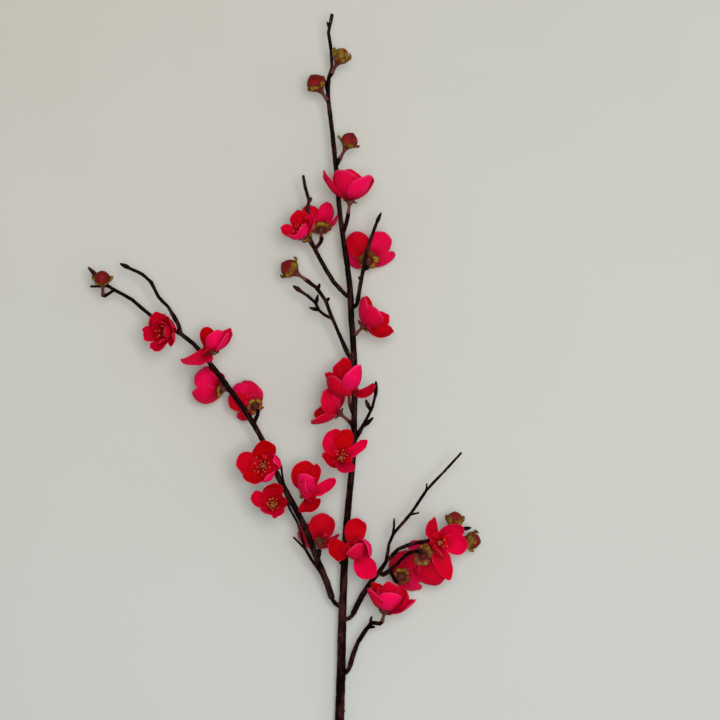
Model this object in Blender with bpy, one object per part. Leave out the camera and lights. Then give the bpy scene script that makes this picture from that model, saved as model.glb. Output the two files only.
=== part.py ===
"""Cherry blossom sprig, lying down: moulded twigs plugged into one another, with blossoms and buds on their stalks.

The sprig lies on the surface z = 0 with its cut end at -Y and its tip at +Y. The origin is the middle of its
footprint. Places in the tables below are millimetres from the cut end of the main stem, x across, y along and z up.
Every twig, blossom and bud has a blind socket in its foot, which sits over a pin on the stem that carries it.
"""

import math

import bmesh
import bpy
from mathutils import Matrix, Vector
from mathutils.geometry import interpolate_bezier

MM = 0.001
CLEARANCE = 0.3  # between any two neighbouring solids

# Plugs: a pin of this radius and depth stands in each socket.
PIN_RADIUS = 0.45
PIN_DEPTH = 2.4
SOCKET_RADIUS = 0.9  # leaves the clearance at the flats of a six-sided socket
SOCKET_DEPTH = PIN_DEPTH + CLEARANCE
STUB_RADIUS = 1.15
COLLAR_RADIUS = 1.4  # least radius of a twig's foot, around its socket
COLLAR_LENGTH = 4.5

# Twigs
STEM_SIDES = 8
TWIG_SIDES = 6
STEM_STEP = 9.0  # distance between two rings of a stem
LEAF_BUD_SIDES = 5

# Blossom, seen along its own axis: z is towards the open mouth, and z = 0 is the top of the receptacle.
PETALS = 5
STALK = 8.0  # from the foot of the stalk to the top of the receptacle
STALK_RADIUS = 1.3
RECEPTACLE_RADIUS = 2.5
RECEPTACLE_HEIGHT = 1.5
CORE_RADIUS = 0.9
STAMEN_RADIUS = 2.1
STAMEN_HEIGHT = 5.0
SEPAL_LENGTH = 5.0
SEPAL_WIDTH = 4.2
SEPAL_THICKNESS = 0.7
SEPAL_LEAN = 28.0  # degrees that a sepal opens wider than the petals
PETAL_LENGTH = 22.0
PETAL_THICKNESS = 0.8
PETAL_CURL = 19.0  # degrees that a petal leans out at its foot and in at its tip
EYE_RADIUS = CORE_RADIUS + CLEARANCE + 0.1  # the hole in the middle of the corolla
# Reach of the corolla's edge as a share of the petal length, by degrees from the middle of a petal
PETAL_OUTLINE = ((-36, 0.66), (-25, 0.92), (0, 1.0), (25, 0.92))
FOLD_AT = 0.5  # where along its reach the petal bends

# Bud: a ball of closed petals on the same kind of stalk, as (radius, height) shares of the ball's radius
BUD_PROFILE = ((0.62, 0.12), (0.96, 0.62), (1.0, 1.1), (0.72, 1.62), (0.3, 1.86))

COLOURS = {
    "bark": (0.030, 0.010, 0.012, 1.0),
    "petal": (0.72, 0.01, 0.06, 1.0),
    "calyx": (0.16, 0.07, 0.02, 1.0),
    "bud": (0.50, 0.03, 0.03, 1.0),
}
ROUGHNESS = {"bark": 0.5, "petal": 0.75, "calyx": 0.6, "bud": 0.7}

# Stems: the points of the centreline as x, y, z and radius. The first point of all but the main stem is its socket.
STEMS = {
    "main_stem": [
        (-2, 0, 2.9, 2.9), (0, 60, 7, 2.85), (1.2, 94, 9.5, 2.75), (1.6, 117, 11, 2.6), (2.5, 141, 13, 2.3),
        (3.3, 164, 15, 2.2), (4.4, 183, 16.5, 2.05), (6.3, 206, 18, 1.95), (9.2, 237, 20, 1.85),
        (10, 271, 21.5, 1.75), (9.6, 305, 22, 1.8), (8, 327, 22, 1.75), (7.6, 341, 22, 1.85), (5.3, 363, 22, 1.55),
        (0.8, 394, 22, 1.4), (-2.3, 429, 22, 1.3), (-4.8, 452, 22, 1.25), (-7.6, 477, 22, 1.15),
        (-7, 488, 23, 0.95), (-4.9, 495, 23.5, 0.9), (-5.4, 506, 24, 0.85), (-7.3, 518, 24, 0.85), (-4.7, 530, 24, 1.0),
    ],
    "left_branch": [
        (-5.0, 140.5, 15.5, 1.9), (-8.4, 151, 18, 1.85), (-14.4, 166, 21.5, 1.85), (-20.6, 183, 24.5, 1.8),
        (-27.5, 198, 26, 1.75), (-40.5, 222, 26.5, 1.6), (-51.2, 247, 27, 1.55), (-62.5, 266, 27, 1.5),
        (-72, 279, 27, 1.45), (-81.5, 292, 26.5, 1.4), (-97.5, 311, 25, 1.25), (-112, 321, 23.5, 1.1),
        (-121, 325.5, 23, 1.05), (-130, 333, 23, 0.95), (-138, 340, 22.5, 0.9), (-150, 346.5, 21.5, 0.85),
        (-157.2, 351, 21, 0.9), (-162, 356, 21, 0.7),
    ],
    "left_tip_twig": [
        (-108.5, 326.2, 26.5, 1.1), (-111.2, 331, 27, 1.0), (-113.6, 335, 27, 0.9), (-120, 341.5, 27, 0.9),
        (-125, 351.5, 27, 0.9), (-131, 357, 27, 0.85), (-140, 361, 27, 0.8),
    ],
    "right_branch": [
        (9.0, 129.5, 13, 1.65), (15.3, 142, 14.5, 1.6), (21.6, 152, 17, 1.5), (27.2, 159, 19.5, 1.3),
        (31.2, 165.5, 22, 1.1), (32.5, 173, 24.5, 0.95), (33, 177.5, 26, 0.85), (36, 184.5, 28, 0.8),
        (47.5, 198, 31, 0.75), (57.7, 213.5, 33, 0.7), (68, 224.5, 34, 0.6), (80.8, 238.5, 35, 0.5),
    ],
    "right_curved_twig": [
        (35.2, 169.8, 26, 1.1), (39.3, 174.2, 28, 1.0), (45, 176.8, 29, 1.0), (52, 178.4, 28, 1.0),
        (59, 179.5, 24.5, 1.0), (66, 182.5, 19, 0.95), (74, 185.2, 15, 0.9), (81, 186.5, 15, 0.75),
    ],
    "right_short_twig": [
        (30.3, 157.2, 21.5, 1.1), (34, 160, 23, 1.0), (38.5, 164.3, 26, 0.95), (43.5, 170, 29.5, 0.95),
        (47.5, 172.7, 31.5, 0.95),
    ],
    "low_twig": [
        (7.0, 94.5, 11.5, 1.45), (9.4, 103, 14, 1.35), (12.4, 111, 16.5, 1.3), (17.6, 119.5, 19, 1.25),
        (21.8, 124.5, 20.5, 1.2),
    ],
    "upper_left_twig": [
        (1.2, 346.3, 22.5, 1.3), (-4, 352, 23, 1.25), (-12, 365.5, 23.5, 1.15), (-16.2, 373.5, 24, 1.1),
        (-19.6, 381, 24.5, 1.0), (-21, 391, 25, 0.95), (-21.4, 399, 25, 0.9), (-20.2, 406, 25, 0.85),
        (-22.7, 415, 25, 0.75), (-24, 422.5, 25, 0.7),
    ],
    "upper_right_twig": [
        (12.3, 339.2, 25, 1.1), (14, 350, 27, 1.0), (16, 360, 28, 0.95), (18, 370, 28, 0.9), (20.8, 380, 28, 0.85),
        (24.6, 390.5, 28, 0.8),
    ],
    "middle_left_twig": [
        (5.0, 305.5, 24.5, 1.15), (-1.4, 320, 25, 1.0), (-5.3, 329, 25, 0.95), (-9.2, 339.5, 25, 0.95),
        (-15.3, 348, 25, 0.95),
    ],
    "middle_right_twig": [
        (13.0, 251, 22, 1.0), (17.6, 259.5, 24, 0.8), (22.2, 268.7, 25, 0.7), (24.1, 277, 25, 0.65),
    ],
}

# Side shoots that grew in one piece with a stem: thin twigs, as centrelines like those above.
SIDE_SHOOTS = {
    "left_branch": [
        [(-9.5, 153, 18.5, 0.9), (-14.8, 161.5, 22.5, 0.8), (-22.5, 174, 26.5, 0.75), (-27.3, 191, 29, 0.7),
         (-33, 201.5, 29.5, 0.65), (-36.5, 216, 30, 0.6), (-38.7, 230.5, 30.5, 0.4)],
        [(-22.5, 174, 26.5, 0.6), (-30.5, 182.3, 27.5, 0.4)],
        [(-155.5, 349.3, 21, 0.8), (-161, 349, 21, 0.7), (-165.9, 348.8, 21, 0.6)],
    ],
    "right_branch": [
        [(35.6, 184, 28, 0.7), (36.4, 190, 28, 0.55), (36.4, 194.5, 28, 0.3)],
        [(47, 197.4, 31, 0.6), (52.9, 198.6, 31.5, 0.35)],
        [(57.5, 213, 33, 0.55), (58, 218, 33, 0.35)],
    ],
    "middle_left_twig": [
        [(-4.4, 327, 25, 0.85), (-9, 329.3, 26, 0.85), (-13.2, 332.4, 26.5, 0.8), (-16, 338, 26.5, 0.8),
         (-21.3, 342.7, 26.5, 0.75), (-26, 345.6, 26.5, 0.75)],
    ],
}

# Leaf buds, as foot, tip and greatest radius, on the stem or shoot under them.
LEAF_BUDS = {
    "main_stem": [
        ((-7.4, 476, 22), (-9.6, 487.4, 22.4), 1.1), ((-7.0, 521, 24), (-8.4, 525.5, 24), 0.7),
        ((3.4, 163, 15), (-0.6, 164.4, 15.5), 1.1), ((2.4, 384, 22), (4.2, 388.5, 23), 0.9),
        ((0, 60, 7), (3.9, 64.5, 7), 0.9),
    ],
    "left_branch": [((-160.5, 354.5, 21), (-167.8, 362, 21), 1.35), ((-95, 308.6, 25), (-92.5, 304.2, 25), 1.1)],
    "left_tip_twig": [((-138.5, 360.4, 27), (-146, 364, 27), 1.5)],
    "right_branch": [((22.2, 153, 17.3), (19.6, 156.4, 18), 1.1)],
    "right_curved_twig": [((80.5, 186.4, 15), (88.5, 187.6, 15), 1.2)],
    "low_twig": [((20.5, 123, 20.2), (21.5, 129.2, 20), 0.9), ((19, 121.2, 19.8), (24.2, 121.6, 19), 0.9)],
    "upper_left_twig": [((-20.6, 404, 25), (-18.3, 408, 25), 0.9)],
    "upper_right_twig": [((24, 389, 28), (28, 398, 28), 1.25), ((14.6, 353, 27.3), (12.6, 355.2, 28), 0.8)],
    "middle_left_twig": [
        ((-25, 345, 26.5), (-31, 349.4, 26.5), 1.5), ((-15.4, 337, 26.5), (-14.2, 343.4, 27), 1.2),
        ((-13.6, 332.8, 26.5), (-20, 334.6, 27.5), 1.25), ((-14.2, 346.8, 25), (-12.9, 350.8, 25), 1.1),
        ((-9, 339, 25), (-6.4, 341.2, 25), 1.0),
    ],
    "middle_right_twig": [
        ((24.1, 275.5, 25), (24.4, 286, 25), 1.35), ((20.8, 266, 24.7), (17.4, 273.6, 26), 1.3),
        ((15.4, 255, 23), (22.8, 261.6, 23), 1.35),
    ],
}

# Blossoms: stem, seat (the top of the receptacle), facing (where the mouth looks), spin of the first petal in
# degrees, how far each petal opens from the axis in degrees, and size. A seat with no height lets the blossom
# down until its petals rest on the surface.
BLOSSOMS = [
    ("main_stem", (7.2, 405, 35), (0.14, 0.97, 0.18), 50, (58, 42, 38, 44, 32), 1.18),
    ("upper_left_twig", (-23.2, 383.0, 35.5), (-0.42, 0.50, 0.76), 20, (56, 56, 62, 64, 54), 0.85),
    ("upper_left_twig", (-12.6, 387.8, None), (-0.08, 0.80, -0.59), 36, (52, 50, 50, 50, 50), 0.92),
    ("upper_right_twig", (19.4, 367.0, None), (0.04, 0.58, -0.81), 40, (68, 66, 56, 66, 68), 0.95),
    ("main_stem", (16.6, 322.6, 29.5), (0.66, 0.64, 0.38), 20, (42, 58, 52, 50, 48), 1.03),
    ("main_stem", (6.2, 279.0, 36.5), (-0.10, 0.84, 0.53), 36, (46, 50, 48, 48, 52), 1.10),
    ("main_stem", (-0.4, 264.8, 26.5), (-0.74, 0.62, 0.20), 0, (52, 34, 56, 58, 52), 1.0),
    ("main_stem", (1.0, 234.5, 32), (0.16, 0.40, 0.90), 25, (64, 62, 24, 42, 68), 1.0),
    ("main_stem", (9.8, 173.0, 32), (0.12, 0.16, 0.98), 4, (82, 62, 22, 66, 34), 1.08),
    ("left_branch", (-115, 318, 33), (-0.35, 0.02, 0.93), 25, (50, 46, 52, 50, 50), 0.90),
    ("left_branch", (-84.2, 305.8, 36.5), (0.14, 0.88, 0.44), -80, (88, 42, 46, 48, 50), 0.98),
    ("left_branch", (-79.2, 281.2, None), (-0.86, 0.32, -0.40), 20, (50, 46, 50, 56, 64), 1.06),
    ("left_branch", (-57.0, 269.6, None), (-0.32, 0.40, -0.86), -5, (66, 52, 46, 68, 72), 0.95),
    ("left_branch", (-50.0, 230.2, 38), (-0.05, 0.0, 1.0), -4, (54, 54, 46, 40, 38), 0.94),
    ("left_branch", (-43.9, 203.8, 35), (0.0, 0.22, 0.97), 0, (64, 62, 38, 36, 36), 0.88),
    ("left_branch", (-22.0, 211, 38), (-0.04, 0.48, 0.88), 10, (62, 38, 52, 48, 58), 1.02),
    ("left_branch", (-13.3, 179.0, None), (0.0, 0.70, -0.72), 30, (60, 58, 58, 60, 60), 0.92),
    ("low_twig", (30.6, 133.6, 28), (0.24, 0.87, 0.42), 10, (44, 54, 56, 50, 52), 1.06),
    ("right_short_twig", (41.8, 155.4, None), (0.34, 0.33, -0.88), 9, (50, 52, 52, 50, 48), 0.85),
    ("right_short_twig", (55.6, 169.9, 30), (0.15, -0.36, -0.92), -27, (56, 62, 60, 52, 56), 0.95),
    ("right_curved_twig", (66.0, 179.0, 33), (0.50, -0.08, 0.86), 54, (66, 52, 72, 56, 60), 1.08),
]

# Buds: stem, seat, facing and radius of the ball.
BUDS = [
    ("main_stem", (-1.0, 497.5, 29), (0.45, 0.80, 0.34), 5.4),
    ("main_stem", (-12.8, 479.6, 26), (-0.55, 0.80, 0.20), 6.0),
    ("main_stem", (4.6, 441.5, 27), (0.45, 0.85, 0.20), 5.4),
    ("middle_left_twig", (-29.0, 357.8, 25), (-0.82, 0.57, 0.05), 6.0),
    ("left_branch", (-157.3, 350.5, 27.5), (0.02, 0.80, 0.60), 5.2),
    ("right_curved_twig", (76.6, 190.0, 22), (0.05, 0.86, 0.50), 5.2),
    ("right_curved_twig", (84.2, 179.6, 15), (0.90, -0.15, 0.10), 5.6),
]


def smooth_path(points, step):
    """Points about step apart on the smooth curve through the given (x, y, z, radius) points, radius included."""
    rows = [Vector(p) for p in points]
    rows = [2 * rows[0] - rows[1], *rows, 2 * rows[-1] - rows[-2]]
    path = []
    for before, start, end, after in zip(rows, rows[1:], rows[2:], rows[3:]):
        count = max(1, round((end - start).length / step))
        for i in range(count):
            t = i / count
            path.append(
                0.5 * (2 * start + (end - before) * t + (2 * before - 5 * start + 4 * end - after) * t**2
                       + (3 * start - before - 3 * end + after) * t**3)
            )
    return [*path, rows[-2]]


def ring(bm, centre, side_a, side_b, radius, sides):
    """A ring of vertices around centre, in the plane of two directions at right angles."""
    turn = 2 * math.pi / sides
    return [
        bm.verts.new(centre + (side_a * math.cos(i * turn) + side_b * math.sin(i * turn)) * radius)
        for i in range(sides)
    ]


def bridge(bm, lower, upper):
    """Quads between two rings of the same count, facing out where upper lies further along the tube."""
    count = len(lower)
    for i in range(count):
        after = (i + 1) % count
        bm.faces.new((lower[i], lower[after], upper[after], upper[i]))


def new_object(name, bm, colour):
    """A mesh object from bm, in metres, with its outside facing out."""
    bmesh.ops.recalc_face_normals(bm, faces=bm.faces)
    bmesh.ops.scale(bm, vec=(MM, MM, MM), verts=bm.verts)
    mesh = bpy.data.meshes.new(name)
    bm.to_mesh(mesh)
    bm.free()
    mesh.materials.append(material(colour))
    mesh.shade_smooth()
    mesh.set_sharp_from_angle(angle=math.radians(40))
    obj = bpy.data.objects.new(name, mesh)
    bpy.context.scene.collection.objects.link(obj)
    return obj


def material(name):
    """The Principled material of that colour, made once."""
    found = bpy.data.materials.get(name)
    if found:
        return found
    made = bpy.data.materials.new(name)
    made.use_nodes = True
    shader = made.node_tree.nodes["Principled BSDF"]
    shader.inputs["Base Color"].default_value = COLOURS[name]
    shader.inputs["Roughness"].default_value = ROUGHNESS[name]
    shader.inputs["Metallic"].default_value = 0.0
    made.diffuse_color = COLOURS[name]
    return made


def tube(name, path, sides, socket=False, pin=False):
    """A round tube along a path of (x, y, z, radius), capped, with a socket in its foot or a pin on its end."""
    bm = bmesh.new()
    centres = [p.to_3d() for p in path]
    radii = [p[3] for p in path]
    along = [(b - a).normalized() for a, b in zip(centres, centres[1:])]
    tangents = [along[0], *[(a + b).normalized() for a, b in zip(along, along[1:])], along[-1]]
    side_a = tangents[0].cross(Vector((0, 0, 1))).normalized()
    stations = []  # centre, radius and frame of each ring
    if socket:
        inner = centres[0] + tangents[0] * SOCKET_DEPTH
        side_b = tangents[0].cross(side_a)
        stations += [(inner, SOCKET_RADIUS, side_a, side_b), (centres[0], SOCKET_RADIUS, side_a, side_b)]
    for centre, radius, tangent in zip(centres, radii, tangents):
        side_a = (side_a - tangent * side_a.dot(tangent)).normalized()
        stations.append((centre, radius, side_a, tangent.cross(side_a)))
    if pin:
        side_b = tangents[-1].cross(side_a)
        for reach in (0, PIN_DEPTH):
            stations.append((centres[-1] + tangents[-1] * reach, PIN_RADIUS, side_a, side_b))
    rings = [ring(bm, centre, a, b, radius, sides) for centre, radius, a, b in stations]
    for lower, upper in zip(rings, rings[1:]):
        bridge(bm, lower, upper)
    bm.faces.new(rings[0][::-1])
    bm.faces.new(rings[-1])
    return new_object(name, bm, "bark")


def leaf_bud(name, foot, tip, radius):
    """A pointed bud scale: a spindle that starts inside its twig."""
    bm = bmesh.new()
    foot, tip = Vector(foot), Vector(tip)
    along = (tip - foot).normalized()
    side_a = along.orthogonal().normalized()
    side_b = along.cross(side_a)
    rings = [
        ring(bm, foot.lerp(tip, share), side_a, side_b, radius * width, LEAF_BUD_SIDES)
        for share, width in ((0, 0.45), (0.45, 1.0), (0.8, 0.55))
    ]
    for lower, upper in zip(rings, rings[1:]):
        bridge(bm, lower, upper)
    bm.faces.new(rings[0][::-1])
    point = bm.verts.new(tip)
    last = rings[-1]
    for i, vert in enumerate(last):
        bm.faces.new((vert, last[(i + 1) % len(last)], point))
    return new_object(name, bm, "bark")


def fused(body, pieces):
    """body with the pieces joined into it by Boolean unions, which are then made final."""
    for piece in pieces:
        union = body.modifiers.new("union", "BOOLEAN")
        union.operation = "UNION"
        union.solver = "EXACT"
        union.use_self = True
        union.object = piece
    evaluated = body.evaluated_get(bpy.context.evaluated_depsgraph_get())
    whole = bpy.data.meshes.new_from_object(evaluated)
    body.modifiers.clear()
    body.data = whole
    for piece in pieces:
        bpy.data.objects.remove(piece)
    return body


def placement(seat, facing, spin):
    """The matrix from a blossom's own frame to the sprig's, still in millimetres.

    The first petal leans to the viewer's side on a blossom that looks sideways, and to the tip of the sprig on
    one that looks up or down; spin then turns it about the blossom's axis.
    """
    axis = Vector(facing).normalized()
    towards = Vector((0, 1, 0)) if abs(axis.z) > 0.7 else Vector((0, 0, 1))
    first = (towards - axis * towards.dot(axis)).normalized()
    frame = Matrix((first, axis.cross(first), axis)).transposed()
    return Matrix.Translation(seat) @ (frame @ Matrix.Rotation(math.radians(spin), 3, "Z")).to_4x4()


def opening_at(angle, openings):
    """How far the corolla opens at an angle, in degrees: each petal's own opening, blended from one to the next."""
    total = 0.0
    for number, opening in enumerate(openings):
        apart = abs((angle - number * 360 / PETALS + 180) % 360 - 180)
        if apart < 360 / PETALS:
            total += opening * math.cos(math.radians(apart * 90 / (360 / PETALS))) ** 2
    return total


def polar(angle, radius, height):
    """A point of a turned shape, from its angle in degrees."""
    turn = math.radians(angle)
    return Vector((radius * math.cos(turn), radius * math.sin(turn), height))


def corolla(name, openings, size):
    """Five petals cut as one piece around the eye, cupped, with an outside and an inside face."""
    bm = bmesh.new()
    outside, inside = [], []
    for petal in range(PETALS):
        for offset, share in PETAL_OUTLINE:
            angle = petal * 360 / PETALS + offset
            opening = opening_at(angle, openings)
            reach = PETAL_LENGTH * size * share - EYE_RADIUS
            radius, height = EYE_RADIUS, CLEARANCE
            lower, upper = [(radius, height)], [(radius, height + PETAL_THICKNESS)]
            for lean, length in ((opening + PETAL_CURL, reach * FOLD_AT), (opening - PETAL_CURL, reach * (1 - FOLD_AT))):
                turn = math.radians(lean)
                radius += math.sin(turn) * length
                height += math.cos(turn) * length
                inward = Vector((-math.cos(turn), math.sin(turn))) * PETAL_THICKNESS
                lower.append((radius, height))
                upper.append((radius + inward.x, height + inward.y))
            outside.append([bm.verts.new(polar(angle, *p)) for p in lower])
            inside.append([bm.verts.new(polar(angle, *p)) for p in upper])
    for here, after in zip(range(len(outside)), [*range(1, len(outside)), 0]):
        for band in range(len(outside[0]) - 1):
            a, b = outside[here], outside[after]
            bm.faces.new((a[band], a[band + 1], b[band + 1], b[band]))
            a, b = inside[here], inside[after]
            bm.faces.new((a[band], b[band], b[band + 1], a[band + 1]))
        for end in (0, -1):
            bm.faces.new((outside[here][end], outside[after][end], inside[after][end], inside[here][end]))
    return new_object(name, bm, "petal")


def turned(bm, profile, sides):
    """A closed shape turned about z from its (radius, height) profile. Returns the quads of each band."""
    rings = [[bm.verts.new(polar((i + 0.5) * 360 / sides, r, z)) for i in range(sides)] for r, z in profile]
    bands = []
    for lower, upper in zip(rings, rings[1:]):
        quads = []
        for i in range(sides):
            after = (i + 1) % sides
            quads.append(bm.faces.new((lower[i], lower[after], upper[after], upper[i])))
        bands.append(quads)
    bm.faces.new(rings[0][::-1])
    bm.faces.new(rings[-1])
    return bands


def stalk_profile():
    """The socket and the outside of a stalk, up to the foot of the receptacle."""
    return [
        (SOCKET_RADIUS, SOCKET_DEPTH - STALK),
        (SOCKET_RADIUS, -STALK),
        (STALK_RADIUS, -STALK),
        (STALK_RADIUS * 0.85, -2.2 * RECEPTACLE_HEIGHT),
        (RECEPTACLE_RADIUS * 0.85, -RECEPTACLE_HEIGHT),
        (RECEPTACLE_RADIUS, -CLEARANCE),
    ]


def grow_sepals(bm, band, leans, length):
    """Draws every second face of the receptacle's band out into a sepal that leans out by its own angle."""
    for number in range(PETALS):
        face = band[2 * number]
        root = face.calc_center_median()
        angle = math.degrees(math.atan2(root.y, root.x)) % 360
        lean = math.radians(leans(angle))
        out, across = polar(angle, 1, 0), polar(angle + 90, 1, 0)
        direction = out * math.sin(lean) + Vector((0, 0, math.cos(lean)))
        depth = Vector((0, 0, math.sin(lean))) - out * math.cos(lean)
        for share, width in ((0.55, 1.0), (1.0, 0.55)):
            made = bmesh.ops.extrude_discrete_faces(bm, faces=[face])["faces"][0]
            centre = root + direction * length * share
            above = sorted(made.verts, key=lambda v: v.co.dot(depth))[2:]
            for vert in made.verts:
                side = 0.5 if vert.co.dot(across) > 0 else -0.5
                level = 0.5 if vert in above else -0.5
                vert.co = centre + across * side * SEPAL_WIDTH * width + depth * level * SEPAL_THICKNESS
            face = made


def calyx(name, openings, size):
    """Stalk, receptacle and sepals, with the core that holds the corolla and carries the stamens."""
    bm = bmesh.new()
    above_petals = 2 * CLEARANCE + PETAL_THICKNESS
    profile = stalk_profile() + [
        (CORE_RADIUS, 0),
        (CORE_RADIUS, above_petals),
        (STAMEN_RADIUS, above_petals + 1.2),
        (STAMEN_RADIUS * 0.7, STAMEN_HEIGHT),
    ]
    bands = turned(bm, profile, 2 * PETALS)

    def lean(angle):
        return min(118, opening_at(angle, openings) + SEPAL_LEAN)

    grow_sepals(bm, bands[4], lean, SEPAL_LENGTH * size)
    return new_object(name, bm, "calyx")


def bud(name, radius):
    """A closed bud on its stalk, with five sepals pressed against the ball."""
    bm = bmesh.new()
    ball = [(max(r * radius, CORE_RADIUS), z * radius) for r, z in BUD_PROFILE]
    turned(bm, stalk_profile() + ball, 2 * PETALS)
    return new_object(name, bm, "bud")


def lowest(obj, matrix):
    """The height of obj's lowest point once it is placed by a matrix in millimetres."""
    return min((matrix @ (v.co / MM)).z for v in obj.data.vertices)


def nearest_on(path, point):
    """The point of a stem's path that is nearest to a place, with its radius."""
    return min(path, key=lambda p: (p.to_3d() - point).length)


def stub(name, path, foot, facing):
    """A side peg that leaves a stem at a slant and ends under the foot of what it carries, in a shoulder and a pin."""
    shoulder = foot - facing * CLEARANCE
    neck = shoulder - facing * 1.2
    reach = (nearest_on(path, neck).to_3d() - neck).length
    root = nearest_on(path, neck - facing * reach * 0.8)
    start = root.to_3d()
    gap = (neck - start).length
    curve = interpolate_bezier(start, start.lerp(neck, 0.35), neck - facing * gap * 0.35, neck, 4)
    radius = min(STUB_RADIUS, root[3] * 0.85)
    rows = [(*p, radius + (STUB_RADIUS - radius) * i / 3) for i, p in enumerate(curve)]
    rows.append((*shoulder, STUB_RADIUS))
    return tube(name, [Vector(r) for r in rows], TWIG_SIDES, pin=True)


def parent_of(stem):
    """The stem that another stem is plugged into."""
    if stem == "left_tip_twig":
        return "left_branch"
    if stem in ("right_curved_twig", "right_short_twig"):
        return "right_branch"
    return "main_stem"


def stem_paths():
    """Each stem's smooth path, with a straight collar round the socket of every stem but the main one."""
    paths = {}
    for name, points in STEMS.items():
        path = [Vector(p) for p in smooth_path(points, STEM_STEP)]
        if name != "main_stem":
            foot = path[0]
            axis = (path[1] - foot).to_3d().normalized()
            end = foot.to_3d() + axis * COLLAR_LENGTH
            collar = [
                Vector((*foot.to_3d(), max(foot[3], COLLAR_RADIUS))),
                Vector((*end, foot[3])),
            ]
            path = collar + [p for p in path[1:] if (p.to_3d() - end).dot(axis) > 1.0]
        paths[name] = path
    return paths


def place_on_stems():
    """Makes the blossoms and buds in place. Returns the foot and the facing of each, listed by its stem."""
    feet = {name: [] for name in STEMS}
    for number, (stem, seat, facing, spin, openings, size) in enumerate(BLOSSOMS, 1):
        label = f"blossom_{number:02d}"
        pieces = [corolla(f"{label}_corolla", openings, size), calyx(f"{label}_calyx", openings, size)]
        if seat[2] is None:
            seat = (*seat[:2], 0)
            seat = (*seat[:2], -min(lowest(p, placement(seat, facing, spin)) for p in pieces))
        where = placement(seat, facing, spin)
        for piece in pieces:
            piece.matrix_world = Matrix.Translation(where.translation * MM) @ where.to_3x3().to_4x4()
        axis = Vector(facing).normalized()
        feet[stem].append((Vector(seat) - axis * STALK, axis))
    for number, (stem, seat, facing, radius) in enumerate(BUDS, 1):
        where = placement(seat, facing, 0)
        piece = bud(f"bud_{number}", radius)
        piece.matrix_world = Matrix.Translation(where.translation * MM) @ where.to_3x3().to_4x4()
        axis = Vector(facing).normalized()
        feet[stem].append((Vector(seat) - axis * STALK, axis))
    return feet


def build_stems(feet):
    """Makes each stem with its side shoots, leaf buds and the pegs for all that it carries."""
    paths = stem_paths()
    for name, path in paths.items():
        if name != "main_stem":
            axis = (path[1] - path[0]).to_3d().normalized()
            feet[parent_of(name)].append((path[0].to_3d(), axis))
    for name, path in paths.items():
        sides = STEM_SIDES if name in ("main_stem", "left_branch") else TWIG_SIDES
        body = tube(name, path, sides, socket=name != "main_stem")
        pieces = [
            tube("shoot", smooth_path(points, STEM_STEP), TWIG_SIDES - 1) for points in SIDE_SHOOTS.get(name, [])
        ]
        pieces += [leaf_bud("leaf_bud", *row) for row in LEAF_BUDS.get(name, [])]
        pieces += [stub("stub", path, foot, axis) for foot, axis in feet[name]]
        fused(body, pieces)


def centre_on_origin():
    """Moves the whole sprig so that the middle of its footprint is the origin and it rests on z = 0."""
    bpy.context.view_layer.update()
    corners = [o.matrix_world @ v.co for o in bpy.context.scene.objects if o.type == "MESH" for v in o.data.vertices]
    low = Vector(min(c[i] for c in corners) for i in range(3))
    high = Vector(max(c[i] for c in corners) for i in range(3))
    sprig = bpy.data.objects.new("sprig", None)
    bpy.context.scene.collection.objects.link(sprig)
    for obj in list(bpy.context.scene.objects):
        if obj.type == "MESH":
            obj.parent = sprig
    sprig.location = -Vector(((low.x + high.x) / 2, (low.y + high.y) / 2, low.z))
    bpy.context.view_layer.update()


def main():
    for obj in list(bpy.data.objects):
        bpy.data.objects.remove(obj)
    build_stems(place_on_stems())
    centre_on_origin()


main()
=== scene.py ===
import math

import bpy
import numpy as np
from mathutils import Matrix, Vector


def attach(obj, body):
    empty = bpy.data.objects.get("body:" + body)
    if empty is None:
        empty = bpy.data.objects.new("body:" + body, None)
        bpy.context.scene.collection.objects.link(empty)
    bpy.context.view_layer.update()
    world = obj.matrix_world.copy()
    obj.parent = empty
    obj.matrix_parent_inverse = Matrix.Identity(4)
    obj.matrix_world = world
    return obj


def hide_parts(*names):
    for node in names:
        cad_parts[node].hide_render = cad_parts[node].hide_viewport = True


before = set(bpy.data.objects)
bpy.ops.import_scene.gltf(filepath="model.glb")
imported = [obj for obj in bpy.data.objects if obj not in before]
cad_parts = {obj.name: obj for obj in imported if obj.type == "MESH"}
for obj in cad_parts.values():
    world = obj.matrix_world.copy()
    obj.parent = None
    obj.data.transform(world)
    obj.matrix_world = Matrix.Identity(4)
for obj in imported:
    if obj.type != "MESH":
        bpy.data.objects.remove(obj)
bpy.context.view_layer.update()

MM = 0.001
PETALS = 5
STEP = 360 / PETALS        # degrees from one petal to the next

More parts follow.
